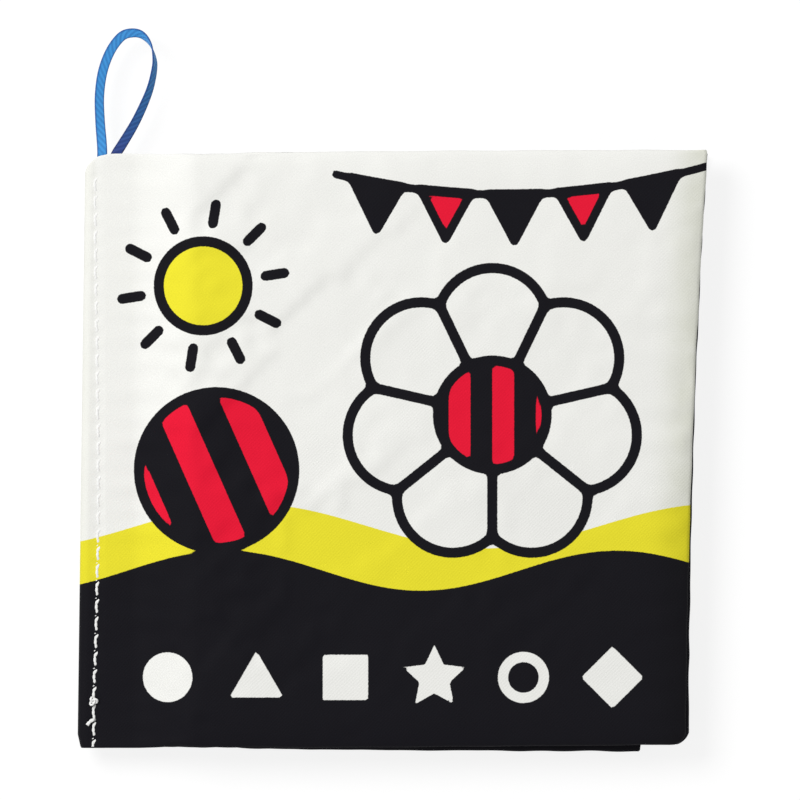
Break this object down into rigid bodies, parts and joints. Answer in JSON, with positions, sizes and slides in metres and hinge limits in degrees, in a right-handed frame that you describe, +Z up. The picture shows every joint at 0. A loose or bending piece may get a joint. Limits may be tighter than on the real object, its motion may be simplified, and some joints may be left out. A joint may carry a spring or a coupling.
{
  "type": "baby soft book",
  "caption": "Square padded cloth book for a baby, with leaves that open along a stitched spine and a hang loop of woven tape at the top.",
  "frame": {"origin": "on the underside of the back cover, under the middle of the page, where the closed book rests", "axes": "+Z up, out of the front cover; +X from the spine to the fore edge; +Y to the top of the page, where the hang loop is"},
  "size_m": [0.1411, 0.1622, 0.0159],
  "materials": {
    "cover_cloth": "printed polyester, matte",
    "page_cloth": "printed polyester, matte",
    "batting": "loose fibre",
    "crinkle_film": "thin clear film",
    "thread": "spun polyester",
    "tape": "woven polyester tape"
  },
  "bodies": {
    "back_cover": {"back_cover_outer_cloth": "cover_cloth", "back_cover_inner_cloth": "page_cloth", "back_cover_padding": "batting", "back_cover_crinkle_film": "crinkle_film", "back_cover_edge_thread": "thread"},
    "second_leaf": {"second_leaf_front_cloth": "page_cloth", "second_leaf_back_cloth": "page_cloth", "second_leaf_padding": "batting", "second_leaf_edge_thread": "thread"},
    "first_leaf": {"first_leaf_front_cloth": "page_cloth", "first_leaf_back_cloth": "page_cloth", "first_leaf_padding": "batting", "first_leaf_edge_thread": "thread", "cover_outer_spine_fold": "cover_cloth", "cover_lining_spine_fold": "page_cloth", "pages_outer_spine_fold": "page_cloth", "pages_inner_spine_fold": "page_cloth", "spine_stitching_front": "thread", "spine_stitching_back": "thread", "hang_loop": "tape"},
    "front_cover": {"front_cover_outer_cloth": "cover_cloth", "front_cover_inner_cloth": "page_cloth", "front_cover_padding": "batting", "front_cover_crinkle_film": "crinkle_film", "front_cover_edge_thread": "thread"}
  },
  "joints": [
    {"name": "second_leaf_hinge", "type": "hinge", "parent": "back_cover", "child": "second_leaf", "pos_m": [-0.06325, 0, 0.00477], "axis": [0, -1, 0], "range_deg": [0, 85]},
    {"name": "first_leaf_hinge", "type": "hinge", "parent": "second_leaf", "child": "first_leaf", "pos_m": [-0.06325, 0, 0.00477], "axis": [0, -1, 0], "range_deg": [0, 85]},
    {"name": "front_cover_hinge", "type": "hinge", "parent": "first_leaf", "child": "front_cover", "pos_m": [-0.06325, 0, 0.01052], "axis": [0, -1, 0], "range_deg": [0, 170]}
  ]
}
